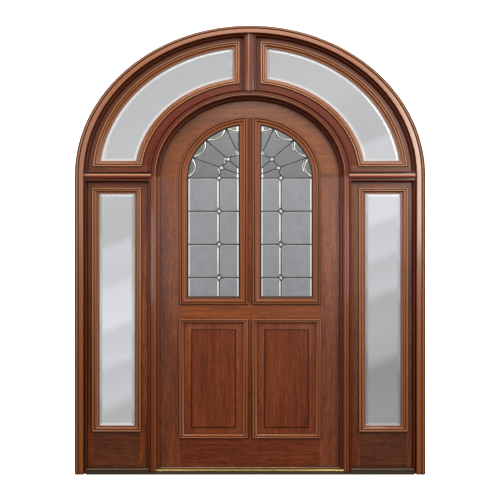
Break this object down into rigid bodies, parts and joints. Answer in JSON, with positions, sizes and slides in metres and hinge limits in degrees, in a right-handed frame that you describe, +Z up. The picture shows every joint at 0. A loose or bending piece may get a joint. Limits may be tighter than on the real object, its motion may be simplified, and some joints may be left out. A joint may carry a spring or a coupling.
{
  "type": "arched glazed entry door unit",
  "caption": "Arched mahogany entry unit: a round-headed leaf with leaded lights over raised panels, between sidelights and under a glazed quarter-ring transom.",
  "frame": {"origin": "middle of the sill's underside, halfway through the frame's depth", "axes": "+Z up, +Y into the building (the casing side faces -Y), +X to the right as seen from outside"},
  "size_m": [2.004, 0.1595, 2.5647],
  "materials": {
    "frame_mahogany": "stained mahogany under glossy varnish",
    "leaf_mahogany": "stained mahogany under satin varnish",
    "panel_mahogany": "stained mahogany with fine upright grain",
    "clear_glass": "clear polished glass",
    "leaded_glass": "bevelled grey glass behind dark cames",
    "lead_came": "blackened came",
    "brass_threshold": "satin brass",
    "brass_hinge": "satin brass",
    "bronze_sill": "dark bronze coating"
  },
  "bodies": {
    "frame": {"arch_jamb": "frame_mahogany", "casing": "frame_mahogany", "crown_mullion": "frame_mahogany", "hinge_1_frame_half": "brass_hinge", "hinge_2_frame_half": "brass_hinge", "hinge_3_frame_half": "brass_hinge", "inner_arch_head": "frame_mahogany", "left_jamb": "frame_mahogany", "left_mull_post": "frame_mahogany", "left_sidelight_bottom_rail": "frame_mahogany", "left_sidelight_glass": "clear_glass", "left_sidelight_inner_stile": "frame_mahogany", "left_sidelight_moulding": "frame_mahogany", "left_sidelight_outer_stile": "frame_mahogany", "left_sidelight_top_rail": "frame_mahogany", "left_transom_bar": "frame_mahogany", "left_transom_crown_stile": "frame_mahogany", "left_transom_foot_rail": "frame_mahogany", "left_transom_glass": "clear_glass", "left_transom_inner_rail": "frame_mahogany", "left_transom_moulding": "frame_mahogany", "left_transom_outer_rail": "frame_mahogany", "right_jamb": "frame_mahogany", "right_mull_post": "frame_mahogany", "right_sidelight_bottom_rail": "frame_mahogany", "right_sidelight_glass": "clear_glass", "right_sidelight_inner_stile": "frame_mahogany", "right_sidelight_moulding": "frame_mahogany", "right_sidelight_outer_stile": "frame_mahogany", "right_sidelight_top_rail": "frame_mahogany", "right_transom_bar": "frame_mahogany", "right_transom_crown_stile": "frame_mahogany", "right_transom_foot_rail": "frame_mahogany", "right_transom_glass": "clear_glass", "right_transom_inner_rail": "frame_mahogany", "right_transom_moulding": "frame_mahogany", "right_transom_outer_rail": "frame_mahogany", "sill": "bronze_sill", "threshold": "brass_threshold", "threshold_cap": "frame_mahogany"},
    "leaf": {"hinge_1_leaf_half": "brass_hinge", "hinge_2_leaf_half": "brass_hinge", "hinge_3_leaf_half": "brass_hinge", "leaf_arch_rail": "leaf_mahogany", "leaf_bottom_rail": "leaf_mahogany", "leaf_left_stile": "leaf_mahogany", "leaf_lock_rail": "leaf_mahogany", "leaf_lower_muntin": "leaf_mahogany", "leaf_right_stile": "leaf_mahogany", "leaf_upper_muntin": "leaf_mahogany", "left_lead_cames": "lead_came", "left_leaded_glass": "leaded_glass", "left_lite_moulding": "leaf_mahogany", "left_panel_moulding": "leaf_mahogany", "left_raised_panel": "panel_mahogany", "right_lead_cames": "lead_came", "right_leaded_glass": "leaded_glass", "right_lite_moulding": "leaf_mahogany", "right_panel_moulding": "leaf_mahogany", "right_raised_panel": "panel_mahogany"}
  },
  "joints": [
    {"name": "door_hinge", "type": "hinge", "parent": "frame", "child": "leaf", "pos_m": [-0.535, 0.065, 0], "axis": [0, 0, 1], "range_deg": [0, 100]}
  ]
}
